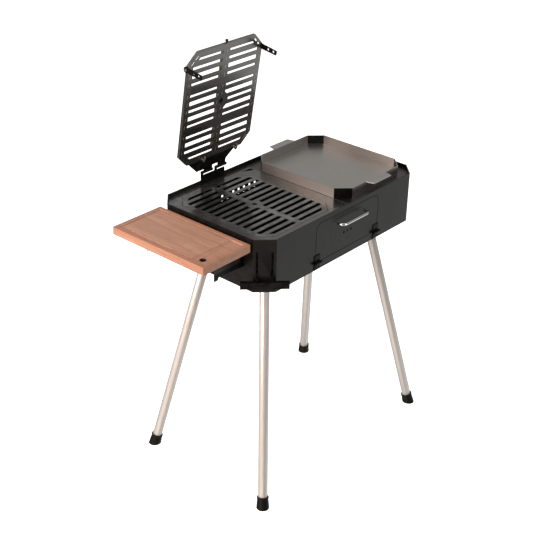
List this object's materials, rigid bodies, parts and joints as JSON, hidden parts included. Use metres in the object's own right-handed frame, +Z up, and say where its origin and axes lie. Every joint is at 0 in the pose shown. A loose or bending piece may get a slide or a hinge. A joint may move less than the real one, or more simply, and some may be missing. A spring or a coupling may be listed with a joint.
{
  "type": "portable charcoal grill",
  "caption": "Chamfered charcoal firebox on splayed tube legs, with slotted grate, hinged lid grate, lift-off griddle, drop-down door, charcoal tray lifters and a wooden side board.",
  "frame": {"origin": "centre of the whole footprint box, on the ground under the feet", "axes": "+Z up; -Y towards the user, where the door is; -X towards the side board"},
  "size_m": [0.804, 0.434, 1.1131],
  "materials": {
    "black": "satin black powder coat",
    "chrome": "polished chrome",
    "dark": "matt black heat-resistant coat",
    "foot": "black moulded rubber",
    "grate": "dark grey seasoned steel grate",
    "griddle": "brushed stainless steel",
    "ledge": "brushed stainless steel",
    "leg": "satin anodised aluminium tube",
    "wood": "oiled hardwood",
    "zinc": "zinc-plated fasteners"
  },
  "bodies": {
    "firebox": {"firebox_walls": "black", "firebox_floor": "dark", "grate_rail_front": "dark", "grate_rail_rear_left": "dark", "grate_rail_rear_right": "dark", "centre_beam": "dark", "grate_frame": "grate", "griddle_ledge": "ledge", "body_hinge_leaves": "dark", "door_hinge_pins": "dark", "hinge_bracket": "dark", "hinge_bracket_rivets": "zinc", "lid_hinge_pins": "dark", "shelf_tray": "black", "shelf_arm_front": "dark", "shelf_arm_rear": "dark", "shelf_rivets": "zinc", "leg_socket_front_left": "dark", "leg_socket_front_right": "dark", "leg_socket_rear_left": "dark", "leg_socket_rear_right": "dark", "socket_rivets": "zinc", "leg_front_left": "leg", "leg_front_right": "leg", "leg_rear_left": "leg", "leg_rear_right": "leg", "foot_front_left": "foot", "foot_front_right": "foot", "foot_rear_left": "foot", "foot_rear_right": "foot"},
    "lid": {"lid_hinge_plate": "dark", "lid_plate": "grate", "lid_rim": "grate", "lid_stiffener": "grate", "lid_tabs": "zinc", "lid_hooks": "zinc", "lid_knob": "dark", "spacer_pivot_left": "zinc", "spacer_pivot_right": "zinc"},
    "spacer_left": {"spacer_leg_left": "dark"},
    "spacer_right": {"spacer_leg_right": "dark"},
    "insert": {"grate_insert": "grate"},
    "griddle": {"griddle_pan": "griddle", "griddle_handle_front": "griddle", "griddle_handle_rear": "griddle"},
    "tray": {"charcoal_tray": "dark", "lifter_front": "dark", "lifter_rear": "dark"},
    "door": {"door_panel": "black", "door_handle": "chrome", "door_hinge_leaves": "dark"},
    "board": {"cutting_board": "wood"}
  },
  "joints": [
    {"name": "lid_hinge", "type": "hinge", "parent": "firebox", "child": "lid", "pos_m": [-0.03903, 0.1731, 0.764], "axis": [-1, 0, 0], "range_deg": [-77.8, 14.25]},
    {"name": "spacer_fold_left", "type": "hinge", "parent": "lid", "child": "spacer_left", "pos_m": [-0.17353, 0.12786, 1.06666], "axis": [1, 0, 0], "range_deg": [0, 90]},
    {"name": "spacer_fold_right", "type": "hinge", "parent": "lid", "child": "spacer_right", "pos_m": [0.08547, 0.12786, 1.06666], "axis": [1, 0, 0], "range_deg": [0, 90]},
    {"name": "insert_lift", "type": "slide", "parent": "firebox", "child": "insert", "axis": [0, 0, 1], "range_m": [0, 0.015]},
    {"name": "griddle_lift", "type": "slide", "parent": "firebox", "child": "griddle", "axis": [0, 0, 1], "range_m": [0, 0.04]},
    {"name": "tray_lift", "type": "slide", "parent": "firebox", "child": "tray", "axis": [0, 0, 1], "range_m": [0, 0.054]},
    {"name": "door_hinge", "type": "hinge", "parent": "firebox", "child": "door", "pos_m": [0.07097, -0.1846, 0.622], "axis": [1, 0, 0], "range_deg": [0, 170]},
    {"name": "board_lift", "type": "slide", "parent": "firebox", "child": "board", "axis": [0, 0, 1], "range_m": [0, 0.03]}
  ]
}
